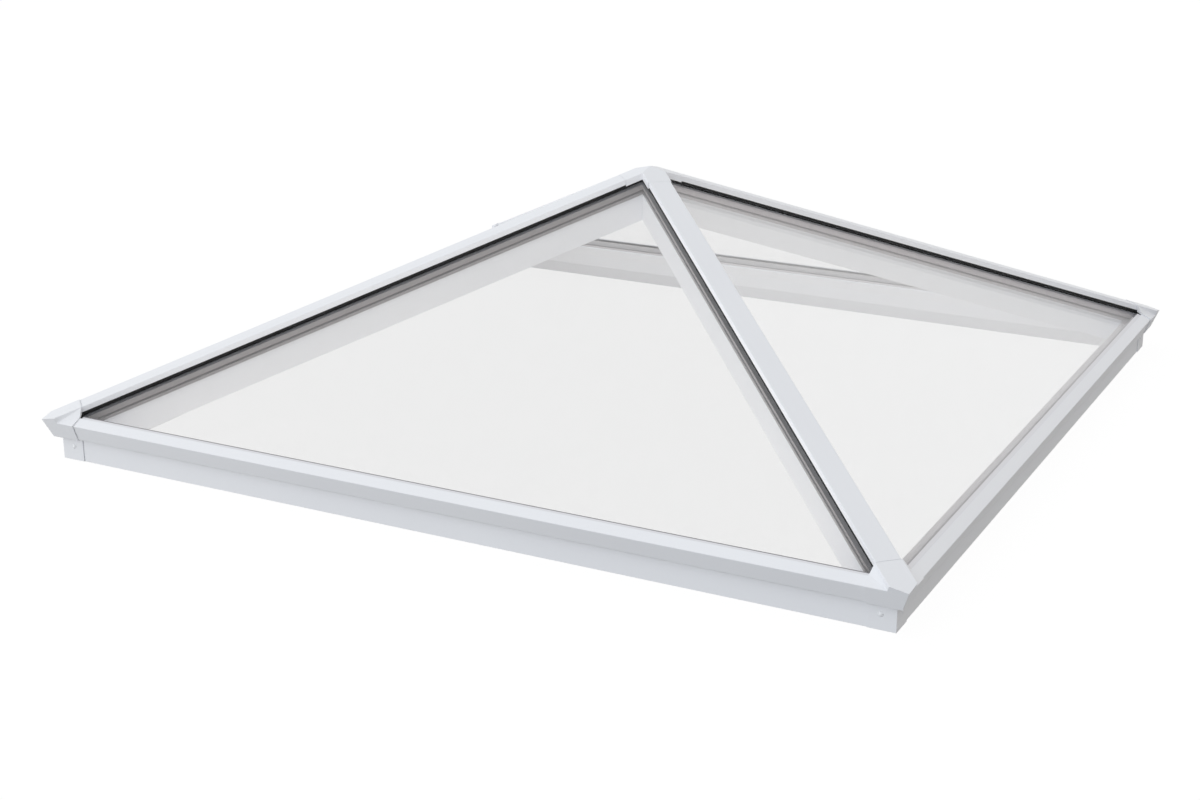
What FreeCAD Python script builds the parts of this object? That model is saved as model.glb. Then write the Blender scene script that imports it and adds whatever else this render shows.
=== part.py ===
import FreeCAD, Part
import math
import os

os.makedirs("parts", exist_ok=True)

# Square roof lantern: four glazed slopes that meet at an apex, on an eaves ring.
# Millimetres, +Z up, origin at the middle of the ring's underside.
# The front faces -Y. A section of the eaves is drawn in (u, z), where u runs inwards
# from the outside of the fascia. A section of a hip is drawn in (v, w), where v is the
# level distance from the hip's own upright plane and w the height over the line where
# the top faces of two eaves caps would meet.

# Overall
side = 2000.0                # over the fascias, both ways
pitch = math.radians(25.5)   # slope of the glass

# Fascia
fasciaHeight = 52.8
fasciaWall = 2.0
fasciaCornerLeg = 58.0
fasciaCornerWall = 4.0       # stands in front of the fascia by the difference

# Eaves cap, seen from outside as a sloping top and an undercut nose
footGap = 2.7                # between the fascia and the foot of the nose
footOut = 12.0               # lower end of the nose outside the fascia
noseOut = 26.2               # tip of the nose outside the fascia
noseRise = 38.0              # from the foot to the tip
footRadius = 4.0             # rounded lower edge of the nose
capTop = 27.3                # sloping top, tip to upper edge
capWall = 2.5
cornerReach = 58.0           # arm of a corner cap, from the fascia corner
cornerProud = 2.2            # corner cap stands over the eaves caps by this
bandProud = 1.2              # and its top over the hip caps by this

# Eaves beam, a hollow section
beamInner = 49.5             # inner face, from the outside of the fascia
beamSill = 31.5              # height of the upright part of the inner face
beamShelfHeight = 63.0       # upper end of the sloping inner face
beamEase = 3.5               # eased edge at the top, both ways
beamWall = 4.0

# Sealed glass unit and what it lies between
outerGlass = 6.0
cavity = 14.0
innerGlass = 4.0
seatDepth = 6.0              # grey strip under the inner pane
seatInner = 37.0             # its upper inner edge at the eaves, from the outside of the fascia
gasketDepth = 2.0            # strips between the caps and the outer pane
flapEdge = 9.0               # inner edge of the flap at the eaves
flapTip = 0.7                # thickness of that edge
paneOverhang = 10.0          # lower edge of the outer pane outside the fascia
unitOverhang = 1.2           # lower edge of the spacer and inner pane outside the fascia
paneHipEdge = 15.0           # outer pane's edge from the hip plane
spacerInset = 2.0            # spacer inside the edge of the inner pane
spacerWidth = 17.0

# Hip
hipRise = 4.8                # flat of the hip cap over the line of the eaves caps
hipHalf = 26.7
hipLip = 12.9                # depth of the cap's edges
hipGasketInset = 0.3
stripWidth = 8.0             # of the strips under the caps
rafterHalf = 28.0
rafterDepth = 63.0           # depth of the rafter's side
rafterWall = 3.0
finHalf = 4.0                # upright fin under the cap
hipCapEnd = 32.0             # lower end of the hip cap, inside the fascia
seatEdge = 8.0               # outer edge of the grey strip from the hip plane

# Apex
apexArm = 70.0               # length of each arm along the hip, in plan
apexProud = 2.5              # its sides outside those of the hip caps
apexDrop = 3.0               # its edges below those of the hip caps
apexCrown = 1.5              # taken off the peak by the dome
apexCrownRadius = 200.0
bossHalf = 20.0

# Edges and clearances
softEdge = 1.5               # radius on the caps' long edges
jointGap = 0.5               # between butting white pieces
hipJoint = 2.5               # open joint between a hip cap and a corner cap
edgeGap = 1.0                # between strips and what they stop at
bite = 1.5                   # one piece of a casting into the next

half = side / 2
tanP = math.tan(pitch)
cosP = math.cos(pitch)
sinP = math.sin(pitch)
hipTan = tanP / math.sqrt(2)                   # fall of a hip along its plan line, and across it
hipLean = (sinP * tanP + 2 * cosP) / (math.sqrt(2) * math.sqrt(2 + tanP ** 2))
footHeight = fasciaHeight + footGap
noseHeight = footHeight + noseRise
capToGlass = capWall + gasketDepth
unitDepth = outerGlass + cavity + innerGlass
beamFace = fasciaCornerWall
far = side                                     # longer than any piece
sides = ("front", "right", "back", "left")
corners = ("front_right", "back_right", "back_left", "front_left")


def vec(x, y, z):
    return FreeCAD.Vector(x, y, z)


def prism(points, along, soft=None):
    # a face carried straight, with an arc of this radius at the corners that soft names
    corners = []
    for i, corner in enumerate(points):
        radius = (soft or {}).get(i, 0.0)
        back = (points[i - 1] - corner).normalize()
        ahead = (points[(i + 1) % len(points)] - corner).normalize()
        angle = back.getAngle(ahead) / 2
        reach = radius / math.tan(angle)
        middle = (back + ahead).normalize() * (radius / math.sin(angle) - radius)
        corners.append((corner + back * reach, corner + middle, corner + ahead * reach))
    edges = []
    for (first, middle, last), following in zip(corners, corners[1:] + corners[:1]):
        if (last - first).Length > 0:
            edges.append(Part.Arc(first, middle, last).toShape())
        edges.append(Part.makeLine(last, following[0]))
    return Part.Face(Part.Wire(edges)).extrude(along)


def turned(shape, quarter):
    copy = shape.copy()
    copy.rotate(vec(0, 0, 0), vec(0, 0, 1), 90 * quarter)
    return copy


def mirrored(shape):
    # across the hip plane of the front right corner, where x = -y
    return shape.mirror(vec(0, 0, 0), vec(1, 1, 0))


def save(name, shape):
    shape.exportStep("parts/%s.step" % name)


# Heights and sections

def planeZ(u, depth=0.0):
    # a plane parallel to the glass, this deep under the tops of the eaves caps
    return noseHeight + (u + noseOut) * tanP - depth / cosP


def hipZ(v, depth=0.0):
    # the same plane in a hip's section
    return -hipTan * abs(v) - depth / cosP


def meet(a, b, c, d):
    # where the line through a and b crosses the line through c and d
    ax, ay = b[0] - a[0], b[1] - a[1]
    cx, cy = d[0] - c[0], d[1] - c[1]
    t = ((c[0] - a[0]) * cy - (c[1] - a[1]) * cx) / (ax * cy - ay * cx)
    return (a[0] + t * ax, a[1] + t * ay)


def shifted(a, b, gap):
    # the line a to b moved to its left by gap
    dx, dy = b[0] - a[0], b[1] - a[1]
    length = math.hypot(dx, dy)
    nx, ny = -dy / length * gap, dx / length * gap
    return (a[0] + nx, a[1] + ny), (b[0] + nx, b[1] + ny)


def offsetPath(points, gap):
    # an open path moved to its left, with mitred corners
    lines = [shifted(a, b, gap) for a, b in zip(points, points[1:])]
    inner = [meet(*first, *second) for first, second in zip(lines, lines[1:])]
    return [lines[0][0]] + inner + [lines[-1][1]]


def eavesRun(section, start, end, soft=None):
    # a section in (u, z) carried along the front eaves
    return prism([vec(start, u - half, z) for u, z in section], vec(end - start, 0, 0), soft)


def hipPoint(run, v, w):
    # a point of the front right hip, this far from the apex in plan
    across = 1 / math.sqrt(2)
    return vec((run + v) * across, (v - run) * across, planeZ(half) + w - run * hipTan)


def hipRun(section, start, end, soft=None):
    # a section in (v, w) carried down the front right hip
    points = [hipPoint(start, v, w) for v, w in section]
    return prism(points, hipPoint(end, 0, 0) - hipPoint(start, 0, 0), soft)


def frontLayer(upper, lower):
    # all between two depths of the front slope
    return eavesRun([(-half, planeZ(-half, lower)), (half, planeZ(half, lower)),
                     (half, planeZ(half, upper)), (-half, planeZ(-half, upper))], -far, far)


def frontWedge():
    # the quarter of the plan that belongs to the front side
    return prism([vec(0, 0, -far), vec(-far, -far, -far), vec(far, -far, -far)], vec(0, 0, 2 * far))


def hipQuarter(gap=0.0):
    # the quarter of the plan that belongs to the front right hip
    return Part.makeBox(far, far, 2 * far, vec(gap, -far - gap, -far))


def paneSlab(depth, thickness, lowerEdge, hipEdge):
    # a triangle on the plane this deep, its edges square to the glass
    y = half - lowerEdge
    x = y - math.sqrt(2) * hipEdge
    tip = math.sqrt(2) * hipEdge
    points = [vec(-x, -y, planeZ(lowerEdge, depth)),
              vec(x, -y, planeZ(lowerEdge, depth)),
              vec(0, -tip, planeZ(half - tip, depth))]
    return prism(points, vec(0, sinP * thickness, -cosP * thickness))


def hipEdgeAt(depth):
    # edges square to the glass lean towards the hip plane as they go down
    return paneHipEdge - (depth - capToGlass) * sinP / math.sqrt(2)


# Eaves ring

capUpper = capTop * cosP - noseOut             # u of the cap's upper edge
capPath = [(capUpper, planeZ(capUpper)), (-noseOut, noseHeight), (-footOut, footHeight),
           (beamFace, footHeight)]
seatTop = capToGlass + unitDepth
beamTop = seatTop + seatDepth
spacerTop = capToGlass + outerGlass
spacerLower = spacerInset * cosP - unitOverhang
spacerUpper = spacerLower + spacerWidth * cosP
seatOuter = (seatTop - spacerTop) * sinP - unitOverhang
seatLean = seatDepth * sinP                    # its edges are square to the glass
beamTopInner = seatInner + seatLean + edgeGap
beamShelf = beamTopInner + beamEase


def eavesBeam():
    ledge = planeZ(beamTopInner, beamTop)
    outline = [(beamFace, 0), (beamInner, 0), (beamInner, beamSill),
               (beamShelf, beamShelfHeight), (beamShelf, ledge - beamEase),
               (beamTopInner, ledge), (beamFace, planeZ(beamFace, beamTop))]
    webLow = beamSill - beamWall / 2
    webHigh = beamSill + beamWall / 2
    left = beamFace + beamWall
    right = beamInner - beamWall
    lower = [(left, beamWall), (right, beamWall), (right, webLow), (left, webLow)]
    slope = shifted(outline[2], outline[3], beamWall)
    lip = ((beamShelf - beamWall, 0), (beamShelf - beamWall, 1))
    roof = ((0, planeZ(0, beamTop + beamWall)), (1, planeZ(1, beamTop + beamWall)))
    upper = [(left, webHigh), meet(*slope, (0, webHigh), (1, webHigh)), meet(*slope, *lip),
             meet(*roof, *lip), (left, planeZ(left, beamTop + beamWall))]
    envelope = eavesRun(outline, -half, half)
    beam = envelope
    for chamber in (lower, upper):
        beam = beam.cut(eavesRun(chamber, -half, half))
    return beam.common(frontWedge()), envelope


def fascia():
    end = half - fasciaCornerLeg - jointGap
    return eavesRun([(beamFace - fasciaWall, 0), (beamFace, 0), (beamFace, fasciaHeight),
                     (beamFace - fasciaWall, fasciaHeight)], -end, end)


def fasciaCorner():
    inner = half - fasciaCornerWall
    start = half - fasciaCornerLeg
    plan = [vec(start, -half, 0), vec(half, -half, 0), vec(half, -start, 0),
            vec(inner, -start, 0), vec(inner, -inner, 0), vec(start, -inner, 0)]
    return prism(plan, vec(0, 0, fasciaHeight))


def capRun(proud, start, end):
    section = offsetPath(capPath, -proud) + offsetPath(capPath, capWall)[::-1]
    return eavesRun(section, start, end, {1: softEdge, 2: footRadius})


def eavesCap():
    end = half - cornerReach - jointGap
    return capRun(0.0, -end, end)


def behind(shape, low, high):
    # what lies inside a leaning face of both eaves at a corner, drawn as a line in (u, z)
    foot = meet(low, high, (0, -side), (1, -side))
    head = meet(low, high, (0, side), (1, side))
    block = eavesRun([foot, head, (side, side), (side, -side)], -far, far)
    return shape.common(block).common(mirrored(block))


def hipBar(halfWidth, top, bottom, start, end, radius=0.0):
    section = [(-halfWidth, bottom), (halfWidth, bottom), (halfWidth, top), (-halfWidth, top)]
    return hipRun(section, start, end, {2: radius, 3: radius})


bandHalf = hipHalf + cornerProud
bandTop = hipRise + bandProud
bandStart = (half - hipCapEnd) * math.sqrt(2)
gussetHead = hipPoint(bandStart, -bandHalf, bandTop - softEdge)
gussetJoint = vec(half - cornerReach, capUpper - half, planeZ(capUpper, -cornerProud))
gussetNose = vec(half + noseOut - bandHalf * math.sqrt(2), -half - noseOut, planeZ(-noseOut, -cornerProud))


def upright(points):
    # a plan carried from the ground to above the apex
    return prism([vec(p.x, p.y, 0) for p in points], vec(0, 0, side))


def gusset():
    # fills the angle between the band and the front arm: its face slopes from the band's
    # upper edge at the hip joint to the arm, and its inner wall closes the corner of the pane
    face = [gussetHead, gussetNose, gussetJoint]
    middle = (face[0] + face[1] + face[2]) / 3
    below = prism([middle + (p - middle) * side for p in face], vec(0, 0, -side))
    inwards = vec(bite, bite, 0) / math.sqrt(2)
    plan = [gussetHead, gussetJoint, gussetNose, gussetNose + inwards, gussetHead + inwards]
    return upright(plan).common(below).common(frontLayer(-side, capWall))


def cornerCap():
    # two mitred arms of the eaves section and a raised band from the hip cap to the tip,
    # with a gusset on each side. The band is cut off by both nose faces, so it ends in a
    # point, and is hollow below.
    end = (half + noseOut) * math.sqrt(2) + hipHalf + noseOut
    arm = capRun(cornerProud, half - cornerReach, half + 2 * noseOut).common(frontWedge())
    bandOut = hipBar(bandHalf, bandTop, hipRise - hipLip, bandStart, end, softEdge)
    bandIn = hipBar(hipHalf - capWall, hipRise - capWall, -rafterDepth, bandStart - edgeGap, end)
    outside, inside = (shifted(capPath[2], capPath[1], gap) for gap in (cornerProud, -capWall))
    band = behind(bandOut, *outside).cut(behind(bandIn, *inside))
    web = behind(gusset(), *outside)
    return arm.fuse([mirrored(arm), band, web, mirrored(web)]).removeSplitter()


# Hips and apex

def hipCap():
    start = apexArm + jointGap
    end = bandStart - hipJoint
    outside = hipBar(hipHalf, hipRise, hipRise - hipLip, start, end, softEdge)
    inside = hipBar(hipHalf - capWall, hipRise - capWall, -rafterDepth, start - edgeGap, end + edgeGap)
    return outside.cut(inside)


def hipRafter(ring):
    low = hipZ(rafterHalf, beamTop) - rafterDepth
    fin = hipRise - capWall
    outline = [(-rafterHalf, low), (rafterHalf, low), (rafterHalf, hipZ(rafterHalf, beamTop)),
               (finHalf, hipZ(finHalf, beamTop)), (finHalf, fin), (-finHalf, fin),
               (-finHalf, hipZ(finHalf, beamTop)), (-rafterHalf, hipZ(rafterHalf, beamTop))]
    hollow = rafterHalf - rafterWall
    roof = beamTop + rafterWall
    chamber = [(-hollow, low + rafterWall), (hollow, low + rafterWall), (hollow, hipZ(hollow, roof)),
               (0, hipZ(0, roof)), (-hollow, hipZ(hollow, roof))]
    end = (half - beamShelf) * math.sqrt(2)
    bar = hipRun(outline, 0, end + side).cut(hipRun(chamber, 0, end + side))
    inside = half - beamShelf
    bar = bar.common(Part.makeBox(inside, inside, side, vec(0, -inside, 0)))
    for beam in ring:
        bar = bar.cut(beam)
    return bar.cut(apexBoss())


def apexBoss():
    top = planeZ(half)
    high = top + hipZ(bossHalf, beamTop) - bossHalf * hipTan
    low = top + hipZ(rafterHalf, beamTop) - rafterDepth - bossHalf * hipTan
    block = Part.makeBox(2 * bossHalf, 2 * bossHalf, high - low, vec(-bossHalf, -bossHalf, low))
    block.rotate(vec(0, 0, 0), vec(0, 0, 1), 45)
    return block


def apexCross(halfWidth, top, bottom, length, radius=0.0):
    # four arms down the hips, mitred where they meet
    arm = hipBar(halfWidth, top, bottom, 0, length, radius).common(hipQuarter())
    return arm.fuse([turned(arm, n) for n in (1, 2, 3)]).removeSplitter()


def apexCap():
    wide = hipHalf + apexProud
    outside = apexCross(wide, hipRise, hipRise - hipLip - apexDrop, apexArm, softEdge)
    inside = apexCross(wide - capWall, hipRise - capWall, -rafterDepth, apexArm + edgeGap)
    peak = planeZ(half) + hipRise
    dome = Part.makeSphere(apexCrownRadius, vec(0, 0, peak - apexCrown - apexCrownRadius))
    return outside.cut(inside).common(dome)


# Glass, spacers and strips

def outerPane():
    return paneSlab(capToGlass, outerGlass, -paneOverhang, paneHipEdge)


def innerPane():
    depth = spacerTop + cavity
    return paneSlab(depth, innerGlass, cavity * sinP - unitOverhang, hipEdgeAt(depth))


def spacer():
    edge = hipEdgeAt(spacerTop) + spacerInset * hipLean
    outside = paneSlab(spacerTop, cavity, spacerLower, edge)
    inside = paneSlab(spacerTop - edgeGap, cavity + 2 * edgeGap, spacerUpper - edgeGap * sinP,
                      edge + spacerWidth * hipLean + edgeGap * sinP / math.sqrt(2))
    return outside.cut(inside)


def outerGaskets():
    # two black strips to a hip, under the edges of its cap, each carried on under a gusset
    near = hipHalf - hipGasketInset
    away = near - stripWidth
    top = hipRise - hipLip
    section = [(away, hipZ(away, capToGlass)), (near, hipZ(near, capToGlass)), (near, top), (away, top)]
    strip = hipRun(section, 0, side).common(hipQuarter(edgeGap))
    stop = half - capUpper - edgeGap - cornerProud
    strip = strip.common(Part.makeBox(stop, stop, side, vec(0, -stop, 0)))
    along = gussetJoint - gussetHead
    out = vec(along.y, -along.x, 0).normalize()
    plan = [gussetHead + out * edgeGap, gussetJoint + out * edgeGap,
            gussetJoint - out * stripWidth / 2, gussetHead - out * stripWidth / 2]
    end = upright(plan).common(frontLayer(capWall, capToGlass))
    return [turned(piece, n) for n in range(4) for piece in (strip, end, mirrored(strip), mirrored(end))]


def eavesGaskets():
    # grey strips under the eaves caps, each with a thin flap that lies on the pane
    reach = half - cornerReach - 2 * edgeGap
    lower = capUpper - stripWidth
    section = [(lower, planeZ(lower, capToGlass)), (flapEdge, planeZ(flapEdge, capToGlass)),
               (flapEdge, planeZ(flapEdge, capToGlass - flapTip)),
               (capUpper, planeZ(capUpper, capWall)), (lower, planeZ(lower, capWall))]
    return [turned(eavesRun(section, -reach, reach), n) for n in range(4)]


def innerSeats():
    # grey strips between the inner panes and the rafters and beams
    section = [(seatEdge, hipZ(seatEdge, beamTop)), (rafterHalf, hipZ(rafterHalf, beamTop)),
               (rafterHalf, hipZ(rafterHalf, seatTop)), (seatEdge, hipZ(seatEdge, seatTop))]
    strip = hipRun(section, 0, side).common(hipQuarter(edgeGap))
    stop = seatInner + edgeGap
    strip = behind(strip, (stop + seatLean, planeZ(stop + seatLean, beamTop)), (stop, planeZ(stop, seatTop)))
    lower = seatOuter + seatLean
    upper = seatInner + seatLean
    flat = [(seatOuter, planeZ(seatOuter, seatTop)), (seatInner, planeZ(seatInner, seatTop)),
            (upper, planeZ(upper, beamTop)), (lower, planeZ(lower, beamTop))]
    mitre = frontWedge()
    mitre.translate(vec(0, -edgeGap, 0))
    eaves = eavesRun(flat, -half, half).common(mitre)
    return [turned(piece, n) for n in range(4) for piece in (strip, mirrored(strip), eaves)]


beam, beamEnvelope = eavesBeam()
rafter = hipRafter([beamEnvelope, mirrored(beamEnvelope)])
bySide = {"eaves_beam": beam, "fascia": fascia(), "eaves_cap": eavesCap(), "outer_pane": outerPane(),
          "spacer": spacer(), "inner_pane": innerPane()}
byCorner = {"fascia_corner": fasciaCorner(), "corner_cap": cornerCap(), "hip_cap": hipCap(),
            "hip_rafter": rafter}
for names, pieces in ((sides, bySide), (corners, byCorner)):
    for quarter, where in enumerate(names):
        for name, shape in pieces.items():
            save("%s_%s" % (name, where), turned(shape, quarter))
save("apex_boss", apexBoss())
save("apex_cap", apexCap())
save("outer_gaskets", Part.makeCompound(outerGaskets()))
save("eaves_gaskets", Part.makeCompound(eavesGaskets()))
save("inner_seats", Part.makeCompound(innerSeats()))
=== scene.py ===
import math
import bmesh
import bpy
import mathutils
import numpy as np
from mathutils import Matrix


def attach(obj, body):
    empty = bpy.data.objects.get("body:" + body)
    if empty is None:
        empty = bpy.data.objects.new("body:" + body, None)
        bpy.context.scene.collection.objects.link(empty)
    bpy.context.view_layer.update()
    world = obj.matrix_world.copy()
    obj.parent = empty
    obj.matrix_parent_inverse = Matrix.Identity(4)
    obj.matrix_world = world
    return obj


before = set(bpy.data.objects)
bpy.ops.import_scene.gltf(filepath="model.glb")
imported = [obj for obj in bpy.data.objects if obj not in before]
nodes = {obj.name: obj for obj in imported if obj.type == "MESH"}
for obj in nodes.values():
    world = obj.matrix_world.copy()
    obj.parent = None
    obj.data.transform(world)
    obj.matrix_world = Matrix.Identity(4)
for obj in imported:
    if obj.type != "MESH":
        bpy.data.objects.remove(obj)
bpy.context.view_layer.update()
print("frame loaded,", len(nodes), "nodes")

scene = bpy.context.scene
scene.view_settings.view_transform = "Standard"

sideNames = ("front", "right", "back", "left")
cornerNames = ("front_right", "back_right", "back_left", "front_left")
shadeA, shadeB, shadeOut = 6, 7, 2     # colour sockets of a Mix node


# Small helpers

def linear(hexText):
    # sRGB hex to linear RGBA
    parts = np.array([int(hexText[i:i + 2], 16) for i in (1, 3, 5)]) / 255
    low = parts / 12.92
    high = ((parts + 0.055) / 1.055) ** 2.4
    return (*np.where(parts <= 0.04045, low, high), 1.0)


def addNode(tree, kind, settings=None, links=None):
    # settings name the node's own values or its input sockets, links name input sockets
    node = tree.nodes.new("ShaderNode" + kind)
    for name, value in (settings or {}).items():
        if isinstance(name, int) or name in node.inputs:
            node.inputs[name].default_value = value
        else:
            setattr(node, name, value)
    for name, socket in (links or {}).items():
        tree.links.new(socket, node.inputs[name])
    return node


def newMaterial(name):
    material = bpy.data.materials.new(name)
    material.use_nodes = True
    material.node_tree.nodes.clear()
    return material, material.node_tree


def planReach(tree, coords):
    # distances from the middle of the plan, along x and along y
    axes = addNode(tree, "SeparateXYZ", {}, {0: coords})
    return [addNode(tree, "Math", {"operation": "ABSOLUTE"}, {0: axes.outputs[axis]}).outputs[0]
            for axis in (0, 1)]


def squareReach(tree, coords):
    # the larger of the two distances, which is the same all along the sides of a square
    alongX, alongY = planReach(tree, coords)
    return addNode(tree, "Math", {"operation": "MAXIMUM"}, {0: alongX, 1: alongY}).outputs[0]


def lookingUp(tree):
    # upward part of the face's direction, 1 where it looks straight up
    normal = addNode(tree, "NewGeometry").outputs["Normal"]
    return addNode(tree, "SeparateXYZ", {}, {0: normal}).outputs["Z"]


def dress(names, material):
    for name in names:
        mesh = nodes[name].data
        mesh.materials.clear()
        mesh.materials.append(material)


def gridMesh(name, points, loopV=False, breakEvery=None):
    # points is (rows, columns, 3), joined into quads between neighbours. A new sheet begins
    # after each breakEvery rows.
    rows, columns = points.shape[:2]
    index = np.arange(rows * columns).reshape(rows, columns)
    if loopV:
        index = np.hstack([index, index[:, :1]])
    quads = np.stack([index[:-1, :-1], index[:-1, 1:], index[1:, 1:], index[1:, :-1]], axis=-1)
    joined = np.arange(1, rows) % (breakEvery or rows) != 0
    quads = quads[joined].reshape(-1, 4)
    mesh = bpy.data.meshes.new(name)
    mesh.from_pydata(points.reshape(-1, 3).tolist(), [], quads.tolist())
    piece = bpy.data.objects.new(name, mesh)
    scene.collection.objects.link(piece)
    return piece


def closePoles(mesh, mergeWithin=1e-6):
    # rows that shrink to a point become one vertex, and faces are turned outwards
    work = bmesh.new()
    work.from_mesh(mesh)
    bmesh.ops.remove_doubles(work, verts=work.verts, dist=mergeWithin)
    bmesh.ops.recalc_face_normals(work, faces=work.faces)
    work.to_mesh(mesh)
    work.free()


def quarterTurns(points):
    # the same rows of points four times, turned by quarters about the upright axis
    turns = np.arange(4)[:, None, None] * math.pi / 2
    x = np.cos(turns) * points[..., 0] - np.sin(turns) * points[..., 1]
    y = np.sin(turns) * points[..., 0] + np.cos(turns) * points[..., 1]
    z = np.broadcast_to(points[..., 2], x.shape)
    return np.stack([x, y, z], axis=-1).reshape(-1, *points.shape[1:])


# Camera at the photo's angle

cameraView = {
    "place": (2.0211, -4.1591, 1.5823),
    "azimuth": 27.41,      # degrees from straight in front, to the right
    "elevation": 18.98,
    "roll": 0.01,
    "lens": 58.61,         # millimetres
    "frameWidth": 36.0,    # millimetres
    "farthest": 200.0,     # metres
}


def placeCamera():
    az, el, roll = (math.radians(cameraView[key]) for key in ("azimuth", "elevation", "roll"))
    back = np.array([math.sin(az) * math.cos(el), -math.cos(az) * math.cos(el), math.sin(el)])
    right = np.array([math.cos(az), math.sin(az), 0.0])
    up = np.cross(back, right)
    tiltedRight = math.cos(roll) * right + math.sin(roll) * up
    tiltedUp = math.cos(roll) * up - math.sin(roll) * right
    data = bpy.data.cameras.new("camera")
    data.lens = cameraView["lens"]
    data.sensor_width = cameraView["frameWidth"]
    data.clip_end = cameraView["farthest"]
    camera = bpy.data.objects.new("camera", data)
    columns = np.stack([tiltedRight, tiltedUp, back, np.array(cameraView["place"])], axis=1)
    camera.matrix_world = np.vstack([columns, [0.0, 0.0, 0.0, 1.0]]).T.tolist()
    scene.collection.objects.link(camera)
    scene.camera = camera


placeCamera()
print("camera placed")


# Light: a pale room that is brighter above and to the front left

studio = {
    "evenLight": 0.655,                    # light of the room on the object from all round
    "leaningLight": (-0.17, -0.167, 0.34),     # added towards this direction, taken from its opposite
    "panelSide": (-0.31, -0.95, 0.0),      # the room is also brighter on this side
    "panelLight": 0.04,
    "panelTightness": 4.0,                 # how closely that light keeps to its side
    "darkGround": 0.46,                    # taken away straight below
    "coolSide": (-0.48, -0.78, 0.2),       # the light is cooler from this direction
    "cool": "#F1F8FF",                     # its tint there
    "warm": "#FFF9EF",                     # and from its opposite
    "lampPlace": (-3.2, -5.2, 0.5),        # a soft panel in front, to the left
    "lampAim": (0.0, -1.0, 0.07),
    "lampSize": (3.0, 1.6),
    "lampWatts": 50.0,
    "lampTint": "#FFF9EE",
    "white": "#FFFFFF",                    # what the eye sees of the room and the floor
    "floorSize": 60.0,                     # metres
    "floorDrop": 0.0005,                   # under the ring, so that the two faces do not flicker
    "floorSeen": 0.95,                     # what the eye sees before the floor's own light is added
    "floorShade": "#4B4B4B",               # catches the object's shadow
    "openingHalf": 0.95,                   # half the roof opening under the ring
    "openingTint": "#FFFBF4",
    "openingFall": 0.3,                    # share by which it is brighter in front, darker at the back
    "openingLight": 1.04,                  # light that its pale lining sends up
}


def seenDirectly(tree):
    # 1 for camera, mirror and glass rays, 0 for rays that only carry light
    path = addNode(tree, "LightPath")
    both = addNode(tree, "Math", {"operation": "MAXIMUM"},
                   {0: path.outputs["Is Camera Ray"], 1: path.outputs["Is Glossy Ray"]})
    seen = addNode(tree, "Math", {"operation": "MAXIMUM"},
                   {0: both.outputs[0], 1: path.outputs["Is Transmission Ray"]})
    return seen.outputs[0]


def lightRoom():
    world = bpy.data.worlds.new("room")
    scene.world = world
    world.use_nodes = True
    tree = world.node_tree
    tree.nodes.clear()
    towards = addNode(tree, "TexCoord").outputs["Generated"]
    lean, ahead, fromCool = (
        addNode(tree, "VectorMath", {"operation": "DOT_PRODUCT", 1: studio[side]},
                {0: towards}).outputs["Value"]
        for side in ("leaningLight", "panelSide", "coolSide"))
    upward = addNode(tree, "SeparateXYZ", {}, {0: towards}).outputs["Z"]
    ground = addNode(tree, "Math", {"operation": "MINIMUM", 1: 0.0}, {0: upward})
    forward = addNode(tree, "Math", {"operation": "MAXIMUM", 1: 0.0}, {0: ahead})
    panel = addNode(tree, "Math", {"operation": "POWER", 1: studio["panelTightness"]},
                    {0: forward.outputs[0]})
    even = addNode(tree, "Math", {"operation": "ADD", 1: studio["evenLight"]}, {0: lean})
    lower = addNode(tree, "Math", {"operation": "MULTIPLY_ADD", 1: studio["darkGround"]},
                    {0: ground.outputs[0], 2: even.outputs[0]})
    whole = addNode(tree, "Math", {"operation": "MULTIPLY_ADD", 1: studio["panelLight"]},
                    {0: panel.outputs[0], 2: lower.outputs[0]})
    strength = addNode(tree, "Math", {"operation": "MAXIMUM", 1: 0.0}, {0: whole.outputs[0]})
    share = addNode(tree, "MapRange", {"From Min": -1.0}, {"Value": fromCool})
    tint = addNode(tree, "Mix",
                   {"data_type": "RGBA", shadeA: linear(studio["warm"]), shadeB: linear(studio["cool"])},
                   {0: share.outputs[0]})
    room = addNode(tree, "Background", {},
                   {"Color": tint.outputs[shadeOut], "Strength": strength.outputs[0]})
    white = addNode(tree, "Background", {"Color": linear(studio["white"]), "Strength": 1.0})
    mix = addNode(tree, "MixShader", {}, {0: seenDirectly(tree), 1: room.outputs[0], 2: white.outputs[0]})
    addNode(tree, "OutputWorld", {}, {"Surface": mix.outputs[0]})


def hangLamp():
    data = bpy.data.lights.new("front_panel", "AREA")
    data.shape = "RECTANGLE"
    data.size, data.size_y = studio["lampSize"]
    data.energy = studio["lampWatts"]
    data.color = linear(studio["lampTint"])[:3]
    lamp = bpy.data.objects.new("front_panel", data)
    aim = mathutils.Vector(studio["lampAim"]) - mathutils.Vector(studio["lampPlace"])
    lamp.location = studio["lampPlace"]
    lamp.rotation_euler = aim.to_track_quat("-Z", "Y").to_euler()
    lamp.visible_camera = False
    lamp.visible_glossy = False
    scene.collection.objects.link(lamp)


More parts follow.
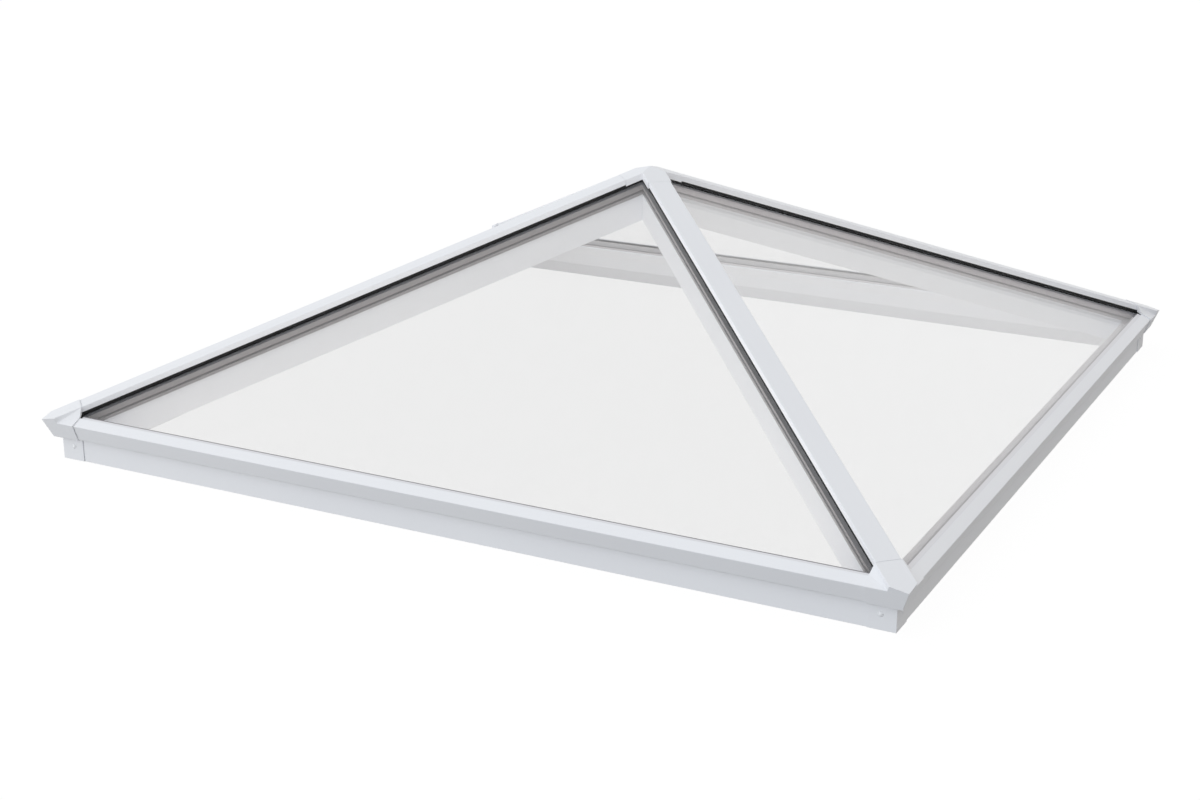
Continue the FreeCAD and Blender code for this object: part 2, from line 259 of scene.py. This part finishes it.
def layFloor():
    # a flat square: corners at plus and minus half the size
    reach = np.array([-0.5, 0.5]) * studio["floorSize"]
    x, y = np.meshgrid(reach, reach)
    floor = gridMesh("floor", np.stack([x, y, np.full_like(x, -studio["floorDrop"])], axis=-1))
    material, tree = newMaterial("pale_studio_floor")
    # for light alone the floor is clear, so that the room lights the object from below too,
    # and inside the ring it is a pale lining
    coords = addNode(tree, "TexCoord").outputs["Object"]
    inside = addNode(tree, "Math", {"operation": "LESS_THAN", 1: studio["openingHalf"]},
                     {0: squareReach(tree, coords)})
    clear = addNode(tree, "BsdfTransparent")
    fall = -studio["openingLight"] * studio["openingFall"] / studio["openingHalf"]
    sent = addNode(tree, "Math", {"operation": "MULTIPLY_ADD", 1: fall, 2: studio["openingLight"]},
                   {0: addNode(tree, "SeparateXYZ", {}, {0: coords}).outputs["Y"]})
    lining = addNode(tree, "Emission", {"Color": linear(studio["openingTint"])},
                     {"Strength": sent.outputs[0]})
    unseen = addNode(tree, "MixShader", {},
                     {0: inside.outputs[0], 1: clear.outputs[0], 2: lining.outputs[0]})
    glow = addNode(tree, "Emission", {"Color": linear(studio["white"]), "Strength": studio["floorSeen"]})
    shade = addNode(tree, "BsdfDiffuse", {"Color": linear(studio["floorShade"])})
    white = addNode(tree, "AddShader", {}, {0: glow.outputs[0], 1: shade.outputs[0]})
    mix = addNode(tree, "MixShader", {}, {0: seenDirectly(tree), 1: unseen.outputs[0], 2: white.outputs[0]})
    addNode(tree, "OutputMaterial", {}, {"Surface": mix.outputs[0]})
    floor.data.materials.append(material)


lightRoom()
hangLamp()
layFloor()
print("light and floor ready")


# White aluminium

coat = {
    "caps": ("#EDEEF3", "#F2F3F7"),    # darkest and lightest shade
    # the beams' pair is a shade lighter than the caps: painted light on their sloping inner face
    "beams": ("#F0F1F6", "#F5F6FA"),
    # painted shade on the beams' upright foot
    "foot": "#E3E4E9",
    "footHeight": 0.0315,      # upright foot of the beams' inner face, under its slope
    "peel": 0.003,             # metres across
    "cloud": 0.25,
    "roughness": (0.42, 0.52),
    "bump": 0.08,
    "bumpDepth": 0.0004,
    "edge": 0.0008,            # the coat rounds the edges it covers
    "edgeSamples": 4,
    "ior": 1.5,
}


def powderCoat(name, shades, withFootShade=False):
    # satin white polyester powder coat on aluminium: even, faintly bluish white with a fine
    # orange-peel skin. The peel is about 1 mm across and is drawn at 3 mm so that it shows.
    # The beams are painted a shade lighter than the caps, as painted light on their sloping inner face, and
    # their upright foot a shade greyer, as painted shade.
    material, tree = newMaterial(name)
    coords = addNode(tree, "TexCoord").outputs["Object"]
    peel = addNode(tree, "TexNoise", {"Scale": 1 / coat["peel"], "Detail": 2.0}, {"Vector": coords})
    cloud = addNode(tree, "TexNoise", {"Scale": 1 / coat["cloud"], "Detail": 3.0}, {"Vector": coords})
    dark, light = shades
    colour = addNode(tree, "Mix", {"data_type": "RGBA", shadeA: linear(dark), shadeB: linear(light)},
                     {0: cloud.outputs[0]})
    # painted shade: the beams are darker below footHeight
    if withFootShade:
        above = addNode(tree, "SeparateXYZ", {}, {0: coords}).outputs["Z"]
        low = addNode(tree, "Math", {"operation": "LESS_THAN", 1: coat["footHeight"]}, {0: above})
        colour = addNode(tree, "Mix", {"data_type": "RGBA", shadeB: linear(coat["foot"])},
                         {0: low.outputs[0], shadeA: colour.outputs[shadeOut]})
    least, most = coat["roughness"]
    rough = addNode(tree, "MapRange", {"To Min": least, "To Max": most}, {"Value": peel.outputs[0]})
    edge = addNode(tree, "Bevel", {"samples": coat["edgeSamples"], "Radius": coat["edge"]})
    bump = addNode(tree, "Bump", {"Strength": coat["bump"], "Distance": coat["bumpDepth"]},
                   {"Height": peel.outputs[0], "Normal": edge.outputs[0]})
    shader = addNode(tree, "BsdfPrincipled", {"IOR": coat["ior"]},
                     {"Base Color": colour.outputs[shadeOut], "Roughness": rough.outputs[0],
                      "Normal": bump.outputs[0]})
    addNode(tree, "OutputMaterial", {}, {"Surface": shader.outputs[0]})
    return material


whitePieces = ([kind + "_" + where for kind in ("fascia", "eaves_cap") for where in sideNames]
               + [kind + "_" + where for kind in ("fascia_corner", "corner_cap", "hip_cap", "hip_rafter")
                  for where in cornerNames] + ["apex_boss", "apex_cap"])
dress(whitePieces, powderCoat("powder_coated_aluminium", coat["caps"]))
dress(["eaves_beam_" + where for where in sideNames],
      powderCoat("powder_coated_beams", coat["beams"], withFootShade=True))
print("white pieces coated")


# Glass

glass = {
    "ior": 1.78,                   # the two faces of a pane mirror together at its front, hence so high
    "mirror": (0.05, 0.2),         # most that it mirrors, from the room and from outside
    "passes": (0.995, 0.95),       # share that comes through, from the room and from outside
    "clear": "#FFFFFF",
}


def floatGlass():
    # clear float glass with a soft coating: smooth and faintly grey from outside, where it also
    # mirrors more at a slant, and nearly clear from the room. Thin panes move what is behind
    # them very little, so it is seen straight through.
    material, tree = newMaterial("clear_float_glass")
    shine = addNode(tree, "Fresnel", {"IOR": glass["ior"]})
    outside = addNode(tree, "Math", {"operation": "GREATER_THAN", 1: 0.0}, {0: lookingUp(tree)})
    most, grey = (addNode(tree, "MapRange", {"To Min": glass[key][0], "To Max": glass[key][1]},
                          {"Value": outside.outputs[0]}) for key in ("mirror", "passes"))
    limited = addNode(tree, "Math", {"operation": "MINIMUM"}, {0: shine.outputs[0], 1: most.outputs[0]})
    front = addNode(tree, "Math", {"operation": "SUBTRACT", "use_clamp": True},
                    {0: limited.outputs[0], 1: addNode(tree, "NewGeometry").outputs["Backfacing"]})
    tint = addNode(tree, "BsdfTransparent", {}, {"Color": grey.outputs[0]})
    mirror = addNode(tree, "BsdfGlossy", {"Color": linear(glass["clear"]), "Roughness": 0.0})
    pane = addNode(tree, "MixShader", {}, {0: front.outputs[0], 1: tint.outputs[0], 2: mirror.outputs[0]})
    clear = addNode(tree, "BsdfTransparent", {"Color": linear(glass["clear"])})
    path = addNode(tree, "LightPath")
    carries = addNode(tree, "Math", {"operation": "MAXIMUM"},
                      {0: path.outputs["Is Shadow Ray"], 1: path.outputs["Is Diffuse Ray"]})
    mix = addNode(tree, "MixShader", {}, {0: carries.outputs[0], 1: pane.outputs[0], 2: clear.outputs[0]})
    addNode(tree, "OutputMaterial", {}, {"Surface": mix.outputs[0]})
    return material


dress([kind + "_" + where for kind in ("outer_pane", "inner_pane") for where in sideNames], floatGlass())
print("panes glazed")


# Strips round the glass. Each pair of shades is the darkest and the lightest, and the grain is
# its width in metres. A real grain is under 1 mm and is drawn coarser so that it shows.

strip = {
    "detail": 3.0,
    "bump": 0.1,
    "bumpDepth": 0.0003,
    "hipReach": 0.07,      # strips along the hips lie this near the plan lines x = y and x = -y
}

spacer = {
    "grain": 0.004,
    "roughness": 0.55,
    # one warm grey spacer in four painted copies: painted shade along the hips, deepest on the front and
    # back slopes, and painted light along the eaves, most on the front and back
    "frontHipsShaded": ("#837F81", "#8C878A"),    # front and back
    "frontEavesLit": ("#DCD8DA", "#E4E0E2"),
    "sideHipsShaded": ("#A29DA0", "#ADA7AA"),    # right and left
    "sideEavesLit": ("#C2BDC0", "#CCC7CA"),
    "bedded": 0.7,         # faces that look up more than this bed on the outer pane
    # the sealant: painted shade along the hips, painted light along the eaves
    "sealantHipsShaded": "#56565C",
    "sealantEavesLit": "#B4B0B4",
}

flap = {
    "grain": 0.003,
    "roughness": 0.6,
    "shades": ("#E4E3E7", "#EBEAEE"),
    # painted shadow line on the lip of the front and back flaps
    "lip": "#858387",
    "lipReach": 0.9933,    # the lip lies nearer to the middle than this
    "lipFacing": 0.5,      # and looks up more than this
}

seat = {
    "grain": 0.004,
    "roughness": 0.5,
    # painted light along the eaves; the hips' pairs below are painted shade
    "eaves": ("#D0CCCF", "#D8D4D7"),
    "seatSideHipsShaded": ("#B5B1B4", "#BDB9BC"),    # right and left slopes
    "seatFrontHipsShaded": ("#8F8B8E", "#959294"),   # front and back slopes
}

gasket = {
    "grain": 0.003,
    "roughness": 0.7,
    "shades": ("#08090A", "#101113"),      # black extruded rubber: matt, with hardly a highlight
}


def frontOrBack(tree, coords):
    # 1 on the front and back slopes, 0 on the right and left ones
    alongX, alongY = planReach(tree, coords)
    return addNode(tree, "Math", {"operation": "GREATER_THAN"}, {0: alongY, 1: alongX}).outputs[0]


def alongHips(tree, coords):
    # 1 near the hips, where the distances along x and y are about the same, and 0 elsewhere
    alongX, alongY = planReach(tree, coords)
    apart = addNode(tree, "Math", {"operation": "SUBTRACT"}, {0: alongX, 1: alongY})
    away = addNode(tree, "Math", {"operation": "ABSOLUTE"}, {0: apart.outputs[0]})
    near = addNode(tree, "Math", {"operation": "LESS_THAN", 1: strip["hipReach"]}, {0: away.outputs[0]})
    return near.outputs[0]


def startStrip(name, look):
    # a new material with the grain that every strip has
    material, tree = newMaterial(name)
    coords = addNode(tree, "TexCoord").outputs["Object"]
    noise = addNode(tree, "TexNoise", {"Scale": 1 / look["grain"], "Detail": strip["detail"]},
                    {"Vector": coords})
    return material, tree, coords, noise.outputs[0]


def stripColour(tree, coords, noise, atHips, atEaves):
    # one pair of shades along the hips and another along the eaves, each mixed by the grain
    hips, eaves = (addNode(tree, "Mix", {"data_type": "RGBA", shadeA: linear(dark), shadeB: linear(light)},
                           {0: noise}) for dark, light in (atHips, atEaves))
    colour = addNode(tree, "Mix", {"data_type": "RGBA"},
                     {0: alongHips(tree, coords), shadeA: eaves.outputs[shadeOut],
                      shadeB: hips.outputs[shadeOut]})
    return colour.outputs[shadeOut]


def endStrip(tree, colour, noise, look):
    # a matt skin, with the grain as a shallow bump
    bump = addNode(tree, "Bump", {"Strength": strip["bump"], "Distance": strip["bumpDepth"]},
                   {"Height": noise})
    shader = addNode(tree, "BsdfPrincipled", {"Roughness": look["roughness"]},
                     {"Base Color": colour, "Normal": bump.outputs[0]})
    addNode(tree, "OutputMaterial", {}, {"Surface": shader.outputs[0]})


def plainStrip(name, look):
    # extruded or moulded in one colour, with a faint grain
    material, tree, _, noise = startStrip(name, look)
    dark, light = look["shades"]
    colour = addNode(tree, "Mix", {"data_type": "RGBA", shadeA: linear(dark), shadeB: linear(light)},
                     {0: noise})
    endStrip(tree, colour.outputs[shadeOut], noise, look)
    return material


def edgeSpacer(name, atHips, atEaves):
    # warm grey spacer bar, painted lighter or darker by place as painted light and shade. On the
    # faces that look up, where it beds on the outer pane, the sealant shows, painted dark along the hips as
    # painted shade and light along the eaves as painted light.
    material, tree, coords, noise = startStrip(name, spacer)
    bar = stripColour(tree, coords, noise, atHips, atEaves)
    bedded = addNode(tree, "Math", {"operation": "GREATER_THAN", 1: spacer["bedded"]}, {0: lookingUp(tree)})
    sealant = addNode(tree, "Mix", {"data_type": "RGBA", shadeA: linear(spacer["sealantEavesLit"]),
                                    shadeB: linear(spacer["sealantHipsShaded"])}, {0: alongHips(tree, coords)})
    colour = addNode(tree, "Mix", {"data_type": "RGBA"},
                     {0: bedded.outputs[0], shadeA: bar, shadeB: sealant.outputs[shadeOut]})
    shader = addNode(tree, "BsdfPrincipled", {"Roughness": spacer["roughness"]},
                     {"Base Color": colour.outputs[shadeOut]})
    addNode(tree, "OutputMaterial", {}, {"Surface": shader.outputs[0]})
    return material


def eavesRubber():
    # pale grey rubber: matt like the coat beside it, with a darker painted shadow line on the top
    # faces of the last millimetres of the front and back flaps, where they lie on the pane
    material, tree, coords, noise = startStrip("grey_gasket_rubber", flap)
    dark, light = flap["shades"]
    rubber = addNode(tree, "Mix", {"data_type": "RGBA", shadeA: linear(dark), shadeB: linear(light)},
                     {0: noise})
    lip = addNode(tree, "Math", {"operation": "LESS_THAN", 1: flap["lipReach"]},
                  {0: squareReach(tree, coords)})
    upper = addNode(tree, "Math", {"operation": "GREATER_THAN", 1: flap["lipFacing"]}, {0: lookingUp(tree)})
    lipFrontBack = addNode(tree, "Math", {"operation": "MULTIPLY"},
                   {0: lip.outputs[0], 1: frontOrBack(tree, coords)})
    shadowedLip = addNode(tree, "Math", {"operation": "MULTIPLY"}, {0: lipFrontBack.outputs[0], 1: upper.outputs[0]})
    colour = addNode(tree, "Mix", {"data_type": "RGBA", shadeB: linear(flap["lip"])},
                     {0: shadowedLip.outputs[0], shadeA: rubber.outputs[shadeOut]})
    endStrip(tree, colour.outputs[shadeOut], noise, flap)
    return material


def seatStrip():
    # soft grey seating strip under the inner panes, matt, painted paler along the eaves as painted
    # light and darker along the hips as painted shade, most on the front and back slopes
    material, tree, coords, noise = startStrip("grey_seat_strip", seat)
    onSides, onFront = (stripColour(tree, coords, noise, seat[key], seat["eaves"])
                        for key in ("seatSideHipsShaded", "seatFrontHipsShaded"))
    colour = addNode(tree, "Mix", {"data_type": "RGBA"},
                     {0: frontOrBack(tree, coords), shadeA: onSides, shadeB: onFront})
    endStrip(tree, colour.outputs[shadeOut], noise, seat)
    return material


dress(["spacer_front", "spacer_back"],
      edgeSpacer("spacer_painted_light_front_back", spacer["frontHipsShaded"], spacer["frontEavesLit"]))
dress(["spacer_right", "spacer_left"],
      edgeSpacer("spacer_painted_light_right_left", spacer["sideHipsShaded"], spacer["sideEavesLit"]))
dress(["outer_gaskets"], plainStrip("black_gasket_rubber", gasket))
dress(["eaves_gaskets"], eavesRubber())
dress(["inner_seats"], seatStrip())
print("strips coloured")


# Screw heads on the fascia corners, one to a face

screwHead = {
    "radius": 0.0056,
    "height": 0.0024,
    "fromCorner": 0.0320,
    "above": 0.0325,       # middle over the floor
    "fasciaHalf": 1.0,     # outside of the fascia corners, from the middle
    "columns": 32,
    "rings": 10,
    "grain": 0.003,
    "roughness": 0.45,
    "shades": ("#F4F5F9", "#F8F9FC"),      # satin white paint, painted a shade lighter than the coat as painted light, so that the dome's lit side shows
}


def screwHeads(material):
    # a low dome turned about its axis, height falling as the square of the distance from it,
    # closed by a flat back
    size = screwHead
    dome = np.linspace(size["radius"], 0.0, size["rings"])
    distance = np.concatenate([[0.0], dome])
    height = np.concatenate([[0.0], size["height"] * (1 - (dome / size["radius"]) ** 2)])
    angle = np.linspace(0, 2 * math.pi, size["columns"], endpoint=False)
    across = distance[:, None] * np.cos(angle)
    along = distance[:, None] * np.sin(angle)
    out = np.repeat(height[:, None], size["columns"], axis=1)
    reach = size["fasciaHalf"] - size["fromCorner"]
    pair = [np.stack([place + across, -size["fasciaHalf"] - out, size["above"] + along], axis=-1)
            for place in (-reach, reach)]
    piece = gridMesh("fascia_screws", quarterTurns(np.concatenate(pair)),
                     loopV=True, breakEvery=len(distance))
    closePoles(piece.data)
    piece.data.materials.append(material)
    piece.data.shade_smooth()
    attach(piece, "root")


screwHeads(plainStrip("painted_screw_heads", screwHead))
print("screw heads added")


# Seals in the open joints between hip caps and corner caps

hipSeal = {
    "inset": 0.0009,       # below the flat and inside the sides of the hip cap
    "faceStep": 1e-5,      # points this near the end of a cap are on its end face
    "grain": 0.003,
    "roughness": 0.6,
    "shades": ("#E6E7EB", "#ECEDF1"),      # white silicone sealant, smoothed and matt
}


def meshPoints(name):
    mesh = nodes[name].data
    points = np.empty(3 * len(mesh.vertices))
    mesh.vertices.foreach_get("co", points)
    return points.reshape(-1, 3)


def hipSeals(material):
    # the outline of the hip cap's lower end, drawn in, carried down the hip as far as the
    # corner cap and closed at both ends, then turned by quarters to the other hips
    downHip, across = np.array([[1, -1, 0], [1, 1, 0]]) / math.sqrt(2)
    cap = meshPoints("hip_cap_front_right")
    along = cap @ downHip
    end = cap[along > along.max() - hipSeal["faceStep"]]
    start = cap[along < along.min() + hipSeal["faceStep"]]
    fall = (start[:, 2].max() - end[:, 2].max()) / (along.max() - along.min())
    half = (end @ across).max() - hipSeal["inset"]
    low, top = end[:, 2].min(), end[:, 2].max() - hipSeal["inset"]
    width = np.array([-half, half, half, -half])
    height = np.array([low, low, top, top])
    run = np.array([along.max(), (meshPoints("corner_cap_front_right") @ downHip).min()])
    rings = (run[:, None, None] * downHip + width[:, None] * across
             + (height - fall * (run - run[0])[:, None])[..., None] * np.array([0, 0, 1]))
    ends = np.repeat(rings.mean(axis=1, keepdims=True), len(width), axis=1)
    bar = np.concatenate([ends[:1], rings, ends[1:]])
    piece = gridMesh("hip_joint_seals", quarterTurns(bar), loopV=True, breakEvery=len(bar))
    closePoles(piece.data)
    piece.data.materials.append(material)
    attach(piece, "root")


hipSeals(plainStrip("white_joint_sealant", hipSeal))
print("joint seals added")
